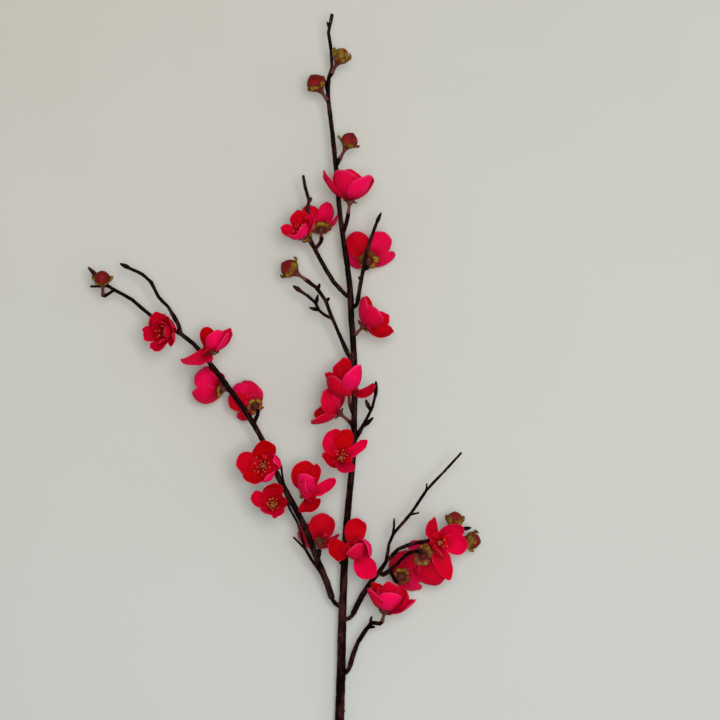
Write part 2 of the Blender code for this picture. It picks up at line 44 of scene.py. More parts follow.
# -------------- what each blossom looks like
# For the whole blossom. turn: the angle of its first petal, the same as in the CAD. size and breadth: shares.
# curl: degrees by which a petal's tip bends inwards. ruffle: how wavy the rims are. deep: all its petals' tones
# lowered, towards deep red.
# inner: how many small petals stand inside the five. stamens: how many there are. threads and sepals: their
# length as a share. extra: single petals besides the five, each at its own angle.
# A number is one of the five petals, with what sets it apart. turn and lean (outwards): degrees. roll: of its
# left and right edge. point: how far its tip is drawn out. tone: from deep red 0 to pink 1, partly the
# cloth's dye and partly painted light and shade: low for a petal that lies in shade, high for a lit one.
BLOSSOMS = {
    1: {"turn": 50, "sepals": 0.55, 0: {"turn": -12, "lean": -24, "breadth": 1.05, "tone": 0.9},
        1: {"lean": -6, "size": 0.88},
        3: {"turn": 17, "lean": 8, "breadth": 0.85, "point": 0.9, "tone": 0.3},
        4: {"size": 1.02, "tone": 0.45}},
    2: {"turn": 20, "size": 0.84, "ruffle": 1.8, "stamens": 8, "sepals": 0.9, 0: {"tone": 0.1},
        1: {"breadth": 0.8, "tone": 0.4}, 2: {"lean": -26, "curl": 12, "tone": 0.9},
        3: {"lean": -34, "curl": 14, "tone": 0.9},
        4: {"lean": -6, "roll": (0.05, 0.05), "point": 0.7, "tone": 0.9},
        "extra": [{"at": 300, "lean": -20, "size": 0.75, "breadth": 0.7, "tone": 0.1},
                  {"at": 20, "lean": -22, "size": 0.7, "breadth": 0.65, "tone": 0.2}]},
    3: {"turn": 36, "size": 0.92, "curl": 8, "sepals": 1.12, 0: {"tone": 0.5}, 1: {"tone": 0.7},
        4: {"tone": 0.1}},
    4: {"turn": 40, "size": 1.0, "sepals": 1.12, 0: {"tone": 0.5}, 1: {"lean": -8, "tone": 0.7},
        2: {"lean": -14, "size": 0.9}, 3: {"lean": -10}, 4: {"tone": 0}},
    5: {"turn": 20, "sepals": 0.65, 0: {"turn": -24, "lean": -12, "size": 1.05, "tone": 0.4},
        1: {"turn": 12, "size": 0.9, "tone": 0.1},
        2: {"lean": 10, "breadth": 0.66, "roll": (0.06, 0.07), "tone": 0.2},
        3: {"size": 0.88, "tone": 0}, 4: {"lean": -8, "tone": 0.5}},
    6: {"turn": 36, "sepals": 0.5,
        0: {"turn": -4, "lean": -20, "size": 1.34, "roll": (0.03, 0.06), "tone": 0.9},
        1: {"turn": -40, "lean": 24, "size": 0.88, "breadth": 0.66, "tone": 0.4},
        2: {"turn": 14, "size": 0.9, "breadth": 0.8, "tone": 0.1}, 3: {"size": 0.82, "tone": 0.4},
        4: {"turn": -12, "lean": -2, "curl": 40, "size": 1.04, "breadth": 1.25, "tone": 0.1},
        "extra": [{"at": 150, "lean": -12, "size": 0.98, "breadth": 0.5, "tone": 0.1}]},
    7: {"turn": 0, "sepals": 0.55,
        0: {"turn": 22, "lean": -22, "size": 1.08, "breadth": 1.12, "tone": 0.2},
        3: {"size": 0.9, "tone": 0}, 4: {"turn": 8, "lean": 4, "breadth": 0.9, "tone": 0.2}},
    8: {"turn": 25, "stamens": 10, "threads": 0.85, "sepals": 0.5,
        0: {"curl": 8, "breadth": 1.1, "tone": 0.7},
        1: {"turn": 18, "lean": -10, "size": 0.84, "tone": 0.1},
        2: {"turn": 12, "lean": 4, "curl": -22, "size": 1.34,
            "breadth": 0.72, "roll": (0.08, 0.03), "point": 0.6, "tone": 1},
        3: {"turn": 56, "lean": 10, "breadth": 0.54, "roll": (0.1, 0.14), "point": 1, "tone": 1},
        4: {"turn": 40, "lean": -10, "size": 0.94, "breadth": 0.78, "tone": 0}},
    9: {"turn": 4, "breadth": 0.8, "stamens": 5, "sepals": 0.5,
        0: {"turn": -9, "lean": -8, "size": 0.95, "breadth": 0.92, "tone": 0.1},
        1: {"turn": 13, "lean": -4, "size": 0.94, "breadth": 1.05, "tone": 0.05},
        2: {"turn": 52, "lean": -20, "curl": 28, "size": 1.1, "breadth": 1.15, "tone": 0.4},
        3: {"turn": -8, "size": 0.98, "breadth": 1.02, "tone": 1},
        4: {"turn": -4, "lean": -4, "curl": 22, "size": 1.06, "breadth": 1.2, "tone": 1}},
    10: {"turn": 25, "size": 0.84, "curl": 10, "ruffle": 2.6, "deep": True, "inner": 6, "stamens": 8,
         1: {"breadth": 0.8, "tone": 0.9}, 2: {"breadth": 0.85, "tone": 0.9}, 3: {"breadth": 0.8}},
    11: {"turn": -80, "stamens": 8, "sepals": 0.62,
         0: {"turn": 30, "lean": 20, "curl": -4, "size": 1.08, "breadth": 1.4, "point": 0.7, "tone": 1},
         1: {"turn": 32, "lean": -20, "curl": 8, "tone": 0.9},
         2: {"lean": -14, "curl": 6, "breadth": 0.9, "tone": 0.9},
         3: {"size": 0.88, "breadth": 0.7, "point": 0.6, "tone": 0.5}, 4: {"size": 0.8, "tone": 0}},
    12: {"turn": 20, "size": 0.92, "breadth": 1.0, "curl": 24, "sepals": 0.8,
         0: {"lean": -8, "tone": 0.8}, 1: {"lean": -6, "tone": 0.4}, 2: {"size": 0.85}, 3: {"size": 0.9},
         4: {"lean": -8, "tone": 0.5}},
    13: {"turn": -5, "size": 0.9, "sepals": 0.78,
         0: {"lean": -20, "curl": 10, "breadth": 1.05, "tone": 0.5},
         1: {"turn": -16, "lean": -20, "curl": 10, "tone": 0.9},
         2: {"size": 0.7, "breadth": 0.8, "tone": 0.2}, 3: {"size": 0.84, "breadth": 0.66, "tone": 0.1},
         4: {"lean": 8, "size": 0.98, "breadth": 0.85, "tone": 0},
         "extra": [{"at": 318, "lean": -22, "size": 0.98, "breadth": 0.85, "tone": 0.8}]},
    14: {"turn": -4, "ruffle": 1.4, "stamens": 18, "threads": 1.1, "sepals": 0.7,
         0: {"breadth": 1.05, "tone": 0}, 1: {"turn": 12, "lean": 4, "tone": 0.2},
         2: {"size": 0.9, "tone": 0},
         3: {"lean": 14, "curl": 48, "breadth": 0.9, "roll": (0.05, 0.02), "tone": 0.9},
         4: {"turn": 8, "lean": 24, "curl": 44, "size": 1.06, "roll": (0.03, 0.05), "point": 0.8, "tone": 0.8}},
    15: {"turn": 0, "size": 0.86, "threads": 0.75, 0: {"curl": 12, "tone": 0},
         1: {"size": 0.96, "breadth": 0.74, "tone": 0.3}, 2: {"size": 0.8, "breadth": 0.85, "tone": 0.7},
         3: {"size": 0.9, "breadth": 0.85, "tone": 0.8}, 4: {"size": 0.9, "tone": 0.1},
         "extra": [{"at": 12, "lean": -16, "size": 0.8, "tone": 0.1}]},
    16: {"turn": 10, "breadth": 0.92, "stamens": 5, "sepals": 0.55, 0: {"breadth": 1.05, "tone": 0.05},
         1: {"lean": -46, "size": 1.05, "breadth": 1.3, "tone": 0.75},
         2: {"turn": 10, "lean": -74, "curl": -12, "size": 1.02, "breadth": 1.15, "point": 0.2, "tone": 0.95},
         3: {"turn": -26, "lean": 8, "tone": 0.1},
         4: {"turn": -12, "lean": 6, "breadth": 0.62, "roll": (0.04, 0.04), "point": 1, "tone": 1},
         "extra": [{"at": -36, "lean": -4, "size": 0.94, "breadth": 0.6, "point": 1, "tone": 0.1}]},
    17: {"turn": 30, "sepals": 0.62, 0: {"turn": -20, "size": 1.04, "breadth": 1.2, "tone": 0},
         1: {"turn": 10, "size": 0.8, "tone": 0.2}, 4: {"turn": -22, "size": 0.84, "tone": 0}},
    18: {"turn": 10, "ruffle": 1.6, "inner": 4, "stamens": 8, "sepals": 0.55,
         0: {"lean": -18, "curl": 10, "breadth": 1.15, "tone": 0.95},
         1: {"turn": -8, "lean": -8, "point": 0.9, "tone": 0.9}, 2: {"size": 0.9},
         3: {"size": 0.88, "tone": 0}, 4: {"turn": 8, "lean": -12, "tone": 0.3}},
    19: {"turn": 9, "size": 0.95, "sepals": 1.1, 0: {"tone": 0.2},
         1: {"lean": 20, "size": 1.15, "breadth": 1.35, "tone": 0.9}, 2: {"lean": 10, "tone": 0.7},
         4: {"tone": 0.2}},
    20: {"turn": -27, "sepals": 1.12, 0: {"size": 0.9, "tone": 0.8}, 1: {"size": 0.9, "tone": 0},
         2: {"turn": 30, "size": 1.12, "breadth": 1.22, "tone": 0.1},
         3: {"turn": 15, "lean": -14, "size": 0.84, "tone": 0.1}, 4: {"size": 0.8, "tone": 0.2}},
    21: {"turn": 54, "size": 0.9, "breadth": 0.94, "stamens": 5, "threads": 0.6,
         0: {"turn": -20, "lean": 8, "size": 0.94, "breadth": 0.7, "tone": 0.3},
         1: {"lean": -14, "curl": 20, "size": 0.85, "tone": 0},
         2: {"turn": -10, "size": 1.12, "breadth": 0.82, "point": 1, "tone": 0.4},
         3: {"curl": 12, "size": 0.92, "tone": 0.9},
         4: {"turn": -16, "curl": 10, "size": 0.96, "tone": 0.8}},
}

# cover: how far up its sepals reach. green: how much of it is olive. peel: how far sepals stand off.
BUDS = {
    1: {"cover": 1.5, "green": 1.1, "peel": 0.3},
    2: {"cover": 1.0, "green": 0.2, "peel": 0.1},
    3: {"cover": 0.8, "green": 0.1, "peel": 0.6},
    4: {"cover": 1.15, "green": 0.4, "peel": 0.4},
    5: {"cover": 0.9, "green": 0.35, "peel": 0.3},
    6: {"cover": 1.4, "green": 0.9, "peel": 0.2},
    7: {"cover": 1.35, "green": 0.8, "peel": 0.4},
}

# -------------- reading the CAD

UPRIGHT = 0.7              # an axis that points up by more than this share counts as upright
EYE_FACES = 8 * PETALS     # a CAD corolla's smallest faces are the wall of the hole at its eye
EYE_HEIGHT = 0.7           # from the seat to the middle of that wall, in millimetres
NEAR_PETAL = 4             # degrees to each side in which a point belongs to a petal's middle line
CLEAR_OF_EYE = 3           # millimetres from the seat
WIDEST = 0.97              # points beyond this share of a bud's radius lie on its widest ring
BUD_FOOT = 8.0             # from the foot of a bud up to the seat of its ball, in millimetres


def triangles(node):
    """The three corners of each face of a CAD node, in millimetres."""
    mesh = bpy.data.objects[node].data
    mesh.calc_loop_triangles()
    corners = np.empty(len(mesh.vertices) * 3, np.float32)
    mesh.vertices.foreach_get("co", corners)
    index = np.array([t.vertices for t in mesh.loop_triangles])
    return corners.reshape(-1, 3)[index].astype(float) / MM


def unit(vector):
    return np.asarray(vector, float) / np.linalg.norm(vector)


class Place:
    """A blossom's or a bud's own frame: its seat, and its axis as the third direction."""

    def __init__(self, seat, axis, turn):
        towards = np.array([0, 1, 0] if abs(axis[2]) > UPRIGHT else [0, 0, 1], float)
        first = unit(towards - axis * (towards @ axis))
        second = np.cross(axis, first)
        a = math.radians(turn)
        self.rows = np.array([first * math.cos(a) + second * math.sin(a),
                              second * math.cos(a) - first * math.sin(a), axis])
        self.seat = seat

    def out(self, points):
        """From the blossom's own frame, in millimetres, to the sprig's, in metres."""
        return (np.asarray(points, float) @ self.rows + self.seat) * MM

    def into(self, points):
        """From the sprig's frame to the blossom's own, both in millimetres."""
        return (points - self.seat) @ self.rows.T


def blossom_place(number):
    """The place of a blossom, and the radius and height of each petal's fold and tip, from its CAD corolla."""
    tri = triangles(f"blossom_{number:02d}_corolla")
    area = np.linalg.norm(np.cross(tri[:, 1] - tri[:, 0], tri[:, 2] - tri[:, 0]), axis=1)
    wall = tri[np.argsort(area)[:EYE_FACES]].reshape(-1, 3)
    centre = wall.mean(0)
    axis = np.linalg.eigh(np.cov((wall - centre).T))[1][:, 0]
    axis = axis * np.sign((tri.mean((0, 1)) - centre) @ axis)
    place = Place(centre - EYE_HEIGHT * axis, axis, BLOSSOMS[number]["turn"])
    points = place.into(np.unique(tri.reshape(-1, 3), axis=0))
    angle = np.degrees(np.arctan2(points[:, 1], points[:, 0]))
    reach = np.hypot(points[:, 0], points[:, 1])
    profiles = []
    for petal in range(PETALS):
        near = np.abs((angle - petal * STEP + 180) % 360 - 180) < NEAR_PETAL
        near = near & (np.hypot(reach, points[:, 2]) > CLEAR_OF_EYE)
        found = sorted(zip(reach[near], points[near, 2]), key=lambda p: math.hypot(*p))
        profiles.append((np.mean(found[:2], axis=0), np.mean(found[-2:], axis=0)))
    return place, profiles


def bud_place(number):
    """The place of a bud and the radius of its ball."""
    points = np.unique(triangles(f"bud_{number}").reshape(-1, 3), axis=0)
    centre = points.mean(0)
    axis = np.linalg.eigh(np.cov((points - centre).T))[1][:, 2]
    away = np.linalg.norm((points - centre) - np.outer((points - centre) @ axis, axis), axis=1)
    if (points[away > WIDEST * away.max()] - centre).mean(0) @ axis < 0:
        axis = -axis
    foot = ((points - centre) @ axis).min()
    return Place(centre + axis * (foot + BUD_FOOT), axis, 0), away.max()


# -------------- mesh helpers

UNLIKELY = (0.31, 0.85, 0.42)    # a direction that no thread runs in
TUBE_END = 0.5                   # how far a tube's rounded end stands out, in radii


def smooth(t):
    """From 0 to 1 with a soft start and end."""
    t = np.clip(t, 0, 1)
    return t * t * (3 - 2 * t)


def hump(x, width):
    """A bell of height 1 about 0."""
    return np.exp(-((x / width) ** 2))


def swept(start, lean, step):
    """Radius and height along a line that leaves start and leans from the axis, a little more at each step."""
    return (start[0] + np.concatenate([[0], np.cumsum(np.sin(lean) * step)]),
            start[1] + np.concatenate([[0], np.cumsum(np.cos(lean) * step)]))


class Build:
    """Collects sheets and tubes into one mesh with uv, a tone for each part (on petals partly painted light and
    shade) and material numbers.
    """

    def __init__(self):
        self.points, self.faces, self.uv, self.tone, self.mats = [], [], [], [], []

    def grid(self, points, tone=0.5, mat=0, wrap=False, flip=False):
        """points: rows x columns x 3, in metres. wrap joins the last column to the first."""
        rows, cols = points.shape[:2]
        start = len(self.points)
        self.points.extend(points.reshape(-1, 3))
        across = np.arange(cols) / (cols if wrap else cols - 1)
        along = np.arange(rows) / (rows - 1)
        self.uv.extend((a, b) for b in along for a in across)
        self.tone.extend([tone] * (rows * cols))
        for r in range(rows - 1):
            here, above = start + r * cols, start + (r + 1) * cols
            for c in range(cols if wrap else cols - 1):
                d = (c + 1) % cols
                quad = [here + c, here + d, above + d, above + c]
                self.faces.append(quad[::-1] if flip else quad)
                self.mats.append(mat)
        return start

    def cap(self, start, cols, point, tone=0.5, mat=0, flip=False):
        """Closes a ring of columns with a fan to one point."""
        self.points.append(point)
        self.uv.append((0.5, 1.0))
        self.tone.append(tone)
        tip = len(self.points) - 1
        for c in range(cols):
            face = [start + c, start + (c + 1) % cols, tip]
            self.faces.append(face[::-1] if flip else face)
            self.mats.append(mat)

    def tube(self, path, radii, sides, tone=0.5, mat=0):
        """A round closed tube along a path, in metres."""
        path = np.asarray(path, float)
        ahead = np.gradient(path, axis=0)
        ahead /= np.linalg.norm(ahead, axis=1)[:, None]
        side = unit(np.cross(ahead[0], UNLIKELY))
        turn = np.arange(sides) * 2 * math.pi / sides
        rings = []
        for p, a, r in zip(path, ahead, radii):
            side = unit(side - a * (side @ a))
            rings.append(p + r * (np.outer(np.cos(turn), side) + np.outer(np.sin(turn), np.cross(a, side))))
        start = self.grid(np.array(rings), tone, mat, wrap=True)
        end = path[-1] + ahead[-1] * radii[-1] * TUBE_END
        self.cap(start, sides, path[0], tone, mat, flip=True)
        self.cap(start + (len(path) - 1) * sides, sides, end, tone, mat)

    def turned(self, place, profile, sides, mat=0, ribs=0, depth=0.0):
        """A closed shape turned about the place's axis from its (radius, height) profile, with shallow ribs."""
        angle = np.arange(sides) * 2 * math.pi / sides
        rows = []
        for r, z in profile:
            ring = r * (1 + depth * np.cos(angle * ribs))
            rows.append(np.stack([ring * np.cos(angle), ring * np.sin(angle), 0 * angle + z], axis=-1))
        start = self.grid(place.out(np.array(rows)), mat=mat, wrap=True)
        self.cap(start, sides, place.out([0, 0, profile[0][1]]), mat=mat, flip=True)
        self.cap(start + (len(profile) - 1) * sides, sides, place.out([0, 0, profile[-1][1]]), mat=mat)

    def object(self, name, materials):
        mesh = bpy.data.meshes.new(name)
        mesh.from_pydata([tuple(p) for p in self.points], [], self.faces)
        layer = mesh.uv_layers.new(name="UVMap")
        loops = np.empty(len(mesh.loops), np.int32)
        mesh.loops.foreach_get("vertex_index", loops)
        layer.data.foreach_set("uv", np.array(self.uv, np.float32)[loops].ravel())
        tone = mesh.attributes.new("tone", "FLOAT", "POINT")
        tone.data.foreach_set("value", np.array(self.tone, np.float32))
        mesh.polygons.foreach_set("material_index", np.array(self.mats, np.int32))
        mesh.polygons.foreach_set("use_smooth", np.ones(len(mesh.polygons), bool))
        for m in materials:
            mesh.materials.append(m)
        made = bpy.data.objects.new(name, mesh)
        bpy.context.scene.collection.objects.link(made)
        return made


def thicken(piece, label, thickness):
    """Gives a piece's sheets their thickness, on the side away from their drawn face."""
    sheet = piece.modifiers.new(label, "SOLIDIFY")
    sheet.thickness = thickness * MM
    sheet.offset = -1
    return sheet


def finished(piece, slot, *nodes):
    """Ties a piece to the body and hides the CAD nodes that it takes the place of. Its slot is not used."""
    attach(piece, "root")
    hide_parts(*nodes)


# -------------- materials

FLOAT, VECTOR = "NodeSocketFloat", "NodeSocketVector"
FULL_TURN = 6.2832         # radians in one wave
FINER = 4.3                # how much smaller the fine blotches of a mottle are than the broad ones


def linear(red, green, blue):
    """A colour given as 0 to 255, as the shader wants it."""
    def one(c):
        c = c / 255
        return c / 12.92 if c <= 0.04045 else ((c + 0.055) / 1.055) ** 2.4
    return (one(red), one(green), one(blue), 1.0)


class Nodes:
    """Short ways to add nodes to a material or a node group."""

    def __init__(self, tree):
        self.tree = tree

    def add(self, kind, inputs=(), **settings):
        node = self.tree.nodes.new(kind)
        for key, value in settings.items():
            setattr(node, key, value)
        for key, value in dict(inputs).items():
            self.give(node.inputs[key], value)
        return node

    def give(self, socket, value):
        if isinstance(value, bpy.types.NodeSocket):
            self.tree.links.new(value, socket)
        else:
            socket.default_value = value

    def mix(self, amount, a, b):
        node = self.add("ShaderNodeMix", data_type="RGBA", blend_type="MIX")
        self.give(node.inputs[0], amount)
        self.give(node.inputs[6], a)
        self.give(node.inputs[7], b)
        return node.outputs[2]

    def math(self, operation, a, b=0.0, clamp=False):
        node = self.add("ShaderNodeMath", operation=operation, use_clamp=clamp)
        self.give(node.inputs[0], a)
        self.give(node.inputs[1], b)
        return node.outputs[0]

    def times(self, a, b):
        return self.math("MULTIPLY", a, b)

    def between(self, value, low, high, to_low=0.0, to_high=1.0):
        """A soft step: to_low where the value is low, to_high where it is high."""
        ends = {"Value": value, "From Min": low, "From Max": high, "To Min": to_low, "To Max": to_high}
        return self.add("ShaderNodeMapRange", ends, interpolation_type="SMOOTHSTEP").outputs["Result"]

    def group(self, tree, output, inputs):
        node = self.add("ShaderNodeGroup", node_tree=tree)
        for key, value in inputs.items():
            self.give(node.inputs[key], value)
        return node.outputs[output]

    def mottle(self, place, scale, contrast):
        return self.group(MOTTLE, "Amount", {"Vector": place, "Scale": scale, "Contrast": contrast})

    def veins(self, uv, count, wander):
        return self.group(VEINS, "Line", {"Vector": uv, "Count": count, "Wander": wander})

    def place(self):
        return self.add("ShaderNodeTexCoord").outputs["Object"]

    def uv(self):
        """The uv, and on their own how far across and how far along it is, from 0 to 1."""
        uv = self.add("ShaderNodeUVMap", uv_map="UVMap").outputs["UV"]
        split = self.add("ShaderNodeSeparateXYZ", {"Vector": uv})
        return uv, split.outputs["X"], split.outputs["Y"]

    def tone(self):
        """The tone of a sheet or tube: random on most parts, on petals partly painted light and shade."""
        return self.add("ShaderNodeAttribute", attribute_name="tone").outputs["Fac"]

    def off_middle(self, across):
        """How far a point is from its sheet's middle line: 0.5 at either side."""
        return self.math("ABSOLUTE", self.math("SUBTRACT", across, 0.5))


def new_group(name, inputs, outputs):
    """An empty node group with named sockets: inputs as name -> (type, default), outputs as name -> type."""
    tree = bpy.data.node_groups.new(name, "ShaderNodeTree")
    for key, (kind, default) in inputs.items():
        socket = tree.interface.new_socket(key, in_out="INPUT", socket_type=kind)
        if default is not None:
            socket.default_value = default
    for key, kind in outputs.items():
        tree.interface.new_socket(key, in_out="OUTPUT", socket_type=kind)
    n = Nodes(tree)
    return tree, n, n.add("NodeGroupInput").outputs, n.add("NodeGroupOutput").inputs


def mottle_group():
    """Soft blotches of two sizes, from 0 to 1."""
    tree, n, into, out = new_group("Mottle", {"Vector": (VECTOR, None), "Scale": (FLOAT, 100.0),
                                              "Contrast": (FLOAT, 1.0)}, {"Amount": FLOAT})
    broad = n.add("ShaderNodeTexNoise", {"Vector": into["Vector"], "Scale": into["Scale"], "Detail": 3.0})
    fine = n.add("ShaderNodeTexNoise", {"Vector": into["Vector"], "Scale": n.times(into["Scale"], FINER),
                                        "Detail": 2.0})
    both = n.math("ADD", n.times(broad.outputs["Fac"], 0.7), n.times(fine.outputs["Fac"], 0.3))
    wide = n.times(n.math("SUBTRACT", both, 0.5), n.times(into["Contrast"], 3.0))
    n.give(out["Amount"], n.math("ADD", wide, 0.5, clamp=True))
    return tree


def weave_group():
    """Over-and-under threads of a fine cloth, as a height from 0 to 1."""
    tree, n, into, out = new_group("Weave", {"Vector": (VECTOR, None), "Threads": (FLOAT, 60.0)},
                                   {"Height": FLOAT})
    split = n.add("ShaderNodeSeparateXYZ", {"Vector": into["Vector"]})
    waves = []
    for axis in "XY":
        turned = n.times(split.outputs[axis], n.times(into["Threads"], FULL_TURN))
        waves.append(n.math("SINE", turned))
    product = n.times(waves[0], waves[1])
    n.give(out["Height"], n.math("ADD", n.times(product, 0.5), 0.5, clamp=True))
    return tree


def veins_group():
    """Fine lines that run from the foot of a petal or sepal to its edge, from 0 to 1."""
    tree, n, into, out = new_group("Veins", {"Vector": (VECTOR, None), "Count": (FLOAT, 14.0),
                                             "Wander": (FLOAT, 0.05)}, {"Line": FLOAT})
    split = n.add("ShaderNodeSeparateXYZ", {"Vector": into["Vector"]})
    noise = n.add("ShaderNodeTexNoise", {"Vector": into["Vector"], "Scale": 7.0, "Detail": 2.0})
    shift = n.times(n.math("SUBTRACT", noise.outputs["Fac"], 0.5), into["Wander"])
    across = n.math("ADD", split.outputs["X"], shift)
    wave = n.math("SINE", n.times(across, n.times(into["Count"], FULL_TURN)))
    line = n.between(wave, 0.55, 1.0)
    fade = n.between(split.outputs["Y"], 0.98, 0.3)
    n.give(out["Line"], n.times(line, fade))
    return tree


MOTTLE, WEAVE, VEINS = mottle_group(), weave_group(), veins_group()


def new_material(name):
    material = bpy.data.materials.new(name)
    material.use_nodes = True
    material.node_tree.nodes.clear()
    n = Nodes(material.node_tree)
    shader = n.add("ShaderNodeBsdfPrincipled")
    out = n.add("ShaderNodeOutputMaterial")
    n.give(out.inputs["Surface"], shader.outputs["BSDF"])
    return material, n, shader


def surface(n, shader, colour, rough, specular=0.5):
    n.give(shader.inputs["Base Color"], colour)
    n.give(shader.inputs["Roughness"], rough)
    n.give(shader.inputs["Specular IOR Level"], specular)


def bump(n, shader, height, strength, distance):
    """Fine relief in the material: its distance is in millimetres."""
    node = n.add("ShaderNodeBump", {"Height": height, "Strength": strength, "Distance": distance * MM})
    n.give(shader.inputs["Normal"], node.outputs["Normal"])


def petal_cloth(name, deep, plain, bright, rim, foot, vein_depth, sheen):
    """Petal cloth with a tone that is partly painted light and shade, darker towards its foot as painted shade,
    brighter at the rim as its paler cut edge and a painted sheen, with faint veins and a fine weave.
    """
    material, n, shader = new_material(name)
    uv, across, along = n.uv()
    place = n.place()
    blotch = n.mottle(place, 140.0, 0.8)
    veins = n.veins(uv, 11.0, 0.09)
    # From deep red to pink by tone: partly dye, partly painted light and shade set petal by petal.
    body = n.mix(n.tone(), deep, bright)
    body = n.mix(n.times(blotch, 0.55), body, plain)
    # Brighter rim: partly the paler cut edge of the cloth, partly a painted sheen and backlight.
    edge = n.math("MAXIMUM", n.between(n.off_middle(across), 0.44, 0.5), n.between(along, 0.93, 1.0))
    body = n.mix(n.times(edge, 0.3), body, rim)
    # Painted shade: each petal turns darker towards its foot, deep in the cup.
    body = n.mix(n.between(along, 0.62, 0.02), body, foot)
    body = n.mix(n.times(veins, vein_depth), body, deep)
    surface(n, shader, body, n.between(blotch, 0.0, 1.0, 0.52, 0.7), 0.04)
    shader.inputs["Sheen Weight"].default_value = sheen
    shader.inputs["Sheen Roughness"].default_value = 0.45
    shader.inputs["Sheen Tint"].default_value = linear(255, 120, 160)
    shader.inputs["Subsurface Weight"].default_value = 0.12
    shader.inputs["Subsurface Radius"].default_value = (1.0, 0.15, 0.2)
    shader.inputs["Subsurface Scale"].default_value = 1.5 * MM
    weave = n.group(WEAVE, "Height", {"Vector": uv, "Threads": 46.0})
    relief = n.math("ADD", n.times(weave, 0.12), n.times(veins, -0.25))
    relief = n.math("ADD", relief, n.times(n.mottle(place, 230.0, 1.0), 0.9))
    bump(n, shader, relief, 0.7, 0.8)
    return material


def sepal_skin(name, middle, outer, flush):
    """Waxy sepal: olive in the middle, red-brown to its edge and in patches, with a few ribs."""
    material, n, shader = new_material(name)
    uv, across, along = n.uv()
    place = n.place()
    blotch = n.mottle(place, 320.0, 1.1)
    veins = n.veins(uv, 6.0, 0.06)
    edge = n.math("MAXIMUM", n.between(n.off_middle(across), 0.22, 0.5), n.between(along, 0.68, 1.0))
    patch = n.between(n.mottle(place, 120.0, 1.6), 0.42, 0.72)
    body = n.mix(n.times(blotch, 0.8), middle, outer)
    body = n.mix(n.times(edge, n.between(n.tone(), 0.0, 1.0, 0.55, 0.95)), body, flush)
    body = n.mix(n.times(veins, 0.35), body, flush)
    body = n.mix(n.times(patch, 0.8), body, flush)
    body = n.mix(n.between(along, 0.62, 0.12), body, flush)
    surface(n, shader, body, n.between(blotch, 0.0, 1.0, 0.5, 0.65), 0.22)
    bump(n, shader, n.math("ADD", n.times(veins, 0.6), n.times(blotch, 0.5)), 0.4, 0.2)
    return material


def bud_cloth():
    """A closed bud's cloth: olive at its foot, as far as its tone says, dark red above, with paler seams."""
    material, n, shader = new_material("Bud cloth")
    uv, across, along = n.uv()
    blotch = n.mottle(n.place(), 260.0, 1.3)
    veins = n.veins(uv, 9.0, 0.12)
    red = n.mix(blotch, linear(80, 0, 4), linear(136, 4, 10))
    olive = n.mix(blotch, linear(92, 70, 10), linear(134, 118, 24))
    level = n.math("ADD", n.times(n.tone(), 0.62), n.times(n.math("SUBTRACT", blotch, 0.5), 0.25))
    green = n.between(n.math("SUBTRACT", along, level), 0.22, -0.06)
    seam = n.between(n.off_middle(across), 0.43, 0.5)
    body = n.mix(green, red, olive)
    body = n.mix(n.times(veins, 0.3), body, linear(84, 8, 6))
    body = n.mix(n.times(seam, 0.35), body, linear(160, 44, 34))
    surface(n, shader, body, n.between(blotch, 0.0, 1.0, 0.5, 0.7), 0.2)
    bump(n, shader, n.math("ADD", blotch, n.times(veins, 0.5)), 0.5, 0.5)
    return material


def bark_skin():
    """Moulded bark: near-black brown with a purple cast, fine lengthwise grain and small pale pores."""
    material, n, shader = new_material("Bark")
    place = n.place()
    drawn_out = n.add("ShaderNodeMapping", {"Vector": place, "Scale": (1.0, 0.28, 1.0)}).outputs["Vector"]
    blotch = n.mottle(place, 90.0, 1.0)
    streak = n.mottle(drawn_out, 240.0, 1.3)
    cells = n.add("ShaderNodeTexVoronoi", {"Vector": place, "Scale": 260.0, "Randomness": 1.0})
    pores = n.times(n.between(cells.outputs["Distance"], 0.2, 0.08), n.between(blotch, 0.5, 0.75))
    body = n.mix(blotch, linear(5, 0, 0), linear(20, 3, 4))
    body = n.mix(n.times(n.between(streak, 0.4, 1.0), 0.5), body, linear(80, 42, 39))
    body = n.mix(n.times(pores, 0.7), body, linear(128, 104, 98))
    surface(n, shader, body, n.between(streak, 0.0, 1.0, 0.42, 0.62), 0.03)
    bump(n, shader, n.math("ADD", n.times(streak, 0.7), n.times(pores, 0.6)), 0.5, 0.3)
    return material


def thread(name, low, high, rough):
    """Stamen material: low at the foot and high at the tip of each thread."""
    material, n, shader = new_material(name)
    along = n.uv()[2]
    blotch = n.mottle(n.place(), 900.0, 1.2)
    body = n.mix(along, low, high)
    surface(n, shader, n.mix(n.times(blotch, 0.35), body, low), rough)
    bump(n, shader, blotch, 0.3, 0.1)
    return material


# One cloth on both faces: the inside has redder colours as painted shade from light bouncing in the cup, the
# outside pinker ones as a painted sheen. The foot colours are painted shade.
PETAL_INSIDE_PAINTED_SHADE = petal_cloth("Petal cloth inside, painted shade", deep=linear(182, 0, 6), plain=linear(204, 0, 16),
                     bright=linear(246, 4, 76), rim=linear(248, 40, 90), foot=linear(126, 0, 6),
                     vein_depth=0.4, sheen=0.01)
PETAL_OUTSIDE_PAINTED_SHEEN = petal_cloth("Petal cloth outside, painted sheen", deep=linear(178, 0, 18), plain=linear(210, 0, 36),
                      bright=linear(250, 12, 94), rim=linear(254, 84, 140), foot=linear(138, 0, 12),
                      vein_depth=0.36, sheen=0.03)
SEPAL = sepal_skin("Sepal skin", middle=linear(158, 138, 24), outer=linear(116, 82, 14),
                   flush=linear(92, 18, 8))
STALK = sepal_skin("Stalk skin", middle=linear(72, 28, 24), outer=linear(44, 12, 12),
                   flush=linear(98, 50, 40))
BUD_CLOTH = bud_cloth()
BARK = bark_skin()
